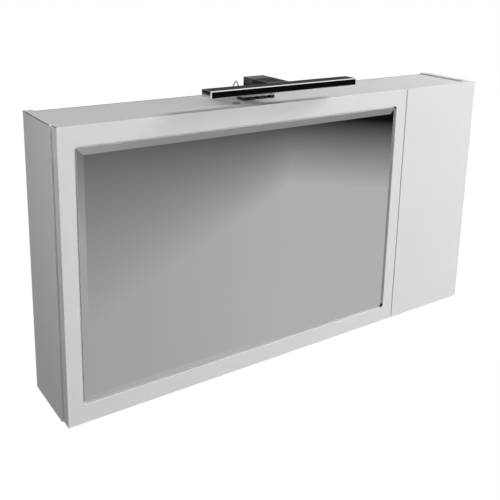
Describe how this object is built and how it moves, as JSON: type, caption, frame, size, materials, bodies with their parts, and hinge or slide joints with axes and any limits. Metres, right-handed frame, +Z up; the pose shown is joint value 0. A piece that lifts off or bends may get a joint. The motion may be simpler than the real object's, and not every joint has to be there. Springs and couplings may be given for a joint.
{
  "type": "mirror cabinet",
  "caption": "Wall-hung white bathroom cabinet with a wide framed mirror door, a narrow plain door and a slim chrome lamp bar on an arm that stands on its top.",
  "frame": {"origin": "on the wall plane, midway between the wall screws", "axes": "+X along the width to the right as seen from the front, +Y into the wall, +Z up"},
  "size_m": [0.9, 0.165, 0.5182],
  "materials": {
    "white_board": "white lacquered board, satin",
    "back_board": "thin white-faced hardboard, matt",
    "dowel_wood": "fluted beech, bare",
    "zinc": "die-cast zinc, dull",
    "screw_steel": "zinc-plated steel",
    "pin_nickel": "nickel-plated steel",
    "shelf_glass": "clear float glass, polished edges",
    "hinge_nickel": "nickel-plated steel",
    "pin_steel": "bright steel",
    "mirror": "silvered glass with a polished bevel",
    "foam_tape": "white foam tape",
    "latch_plastic": "light grey moulded plastic",
    "plunger_plastic": "pale grey moulded plastic",
    "magnet": "bare ferrite",
    "spring_steel": "drawn spring wire",
    "strike_steel": "nickel-plated steel",
    "lamp_chrome": "polished chrome",
    "lamp_black": "black moulded plastic",
    "opal_diffuser": "opal acrylic",
    "led_board": "white-coated metal-core board",
    "led_chip": "phosphor lens",
    "driver_board": "green circuit board",
    "lead_sheath": "light grey sheath",
    "grommet_rubber": "grey rubber",
    "box_plastic": "white moulded plastic",
    "terminal_plastic": "translucent terminal plastic"
  },
  "bodies": {
    "carcass": {"back_panel": "back_board", "back_panel_nails": "screw_steel", "bottom_panel": "white_board", "cam_bolts": "screw_steel", "cam_discs": "zinc", "divider_panel": "white_board", "lamp_arm_cover": "lamp_chrome", "lamp_arm_tray": "lamp_black", "lamp_bar_housing": "lamp_chrome", "lamp_bar_screws": "screw_steel", "lamp_diffuser": "opal_diffuser", "lamp_driver_board": "driver_board", "lamp_end_caps": "lamp_chrome", "lamp_foot": "lamp_chrome", "lamp_foot_pads": "lamp_black", "lamp_foot_screws": "screw_steel", "lamp_lead": "lead_sheath", "lamp_led_board": "led_board", "lamp_leds": "led_chip", "latch_screws": "screw_steel", "lead_grommet": "grommet_rubber", "left_side_panel": "white_board", "mirror_door_hinge_arms": "hinge_nickel", "mirror_door_hinge_plates": "hinge_nickel", "mirror_door_plate_screws": "screw_steel", "mirror_latch_housing": "latch_plastic", "mirror_latch_spring": "spring_steel", "mirror_space_shelves": "shelf_glass", "mounting_rail": "white_board", "right_side_panel": "white_board", "shelf_pins": "pin_nickel", "side_door_hinge_arms": "hinge_nickel", "side_door_hinge_plates": "hinge_nickel", "side_door_plate_screws": "screw_steel", "side_latch_housing": "latch_plastic", "side_latch_spring": "spring_steel", "side_space_shelves": "shelf_glass", "terminal_box": "box_plastic", "terminal_box_lid": "box_plastic", "terminal_strip": "terminal_plastic", "top_panel": "white_board", "wooden_dowels": "dowel_wood"},
    "mirror_door": {"mirror_door_panel": "white_board", "mirror_door_hinge_cups": "hinge_nickel", "mirror_door_hinge_pins": "pin_steel", "mirror_door_cup_screws": "screw_steel", "mirror_glass": "mirror", "mirror_mounting_tape": "foam_tape", "mirror_strike_plate": "strike_steel"},
    "side_door": {"side_door_panel": "white_board", "side_door_hinge_cups": "hinge_nickel", "side_door_hinge_pins": "pin_steel", "side_door_cup_screws": "screw_steel", "side_strike_plate": "strike_steel"},
    "mirror_plunger": {"mirror_latch_plunger": "plunger_plastic", "mirror_latch_magnet": "magnet"},
    "side_plunger": {"side_latch_plunger": "plunger_plastic", "side_latch_magnet": "magnet"}
  },
  "joints": [
    {"name": "mirror_door_hinge", "type": "hinge", "parent": "carcass", "child": "mirror_door", "pos_m": [-0.441, -0.1297, 0], "axis": [0, 0, -1], "range_deg": [0, 95]},
    {"name": "side_door_hinge", "type": "hinge", "parent": "carcass", "child": "side_door", "pos_m": [0.441, -0.1297, 0], "axis": [0, 0, 1], "range_deg": [0, 95]},
    {"name": "mirror_latch_slide", "type": "slide", "parent": "carcass", "child": "mirror_plunger", "axis": [0, -1, 0], "range_m": [0, 0.009], "deforming": ["mirror_latch_spring"]},
    {"name": "side_latch_slide", "type": "slide", "parent": "carcass", "child": "side_plunger", "axis": [0, -1, 0], "range_m": [0, 0.009], "deforming": ["side_latch_spring"]}
  ],
  "couplings": [
    {"joint": "mirror_latch_slide", "follows": "mirror_door_hinge", "m_per_rad": 0.0054},
    {"joint": "side_latch_slide", "follows": "side_door_hinge", "m_per_rad": 0.0054}
  ]
}
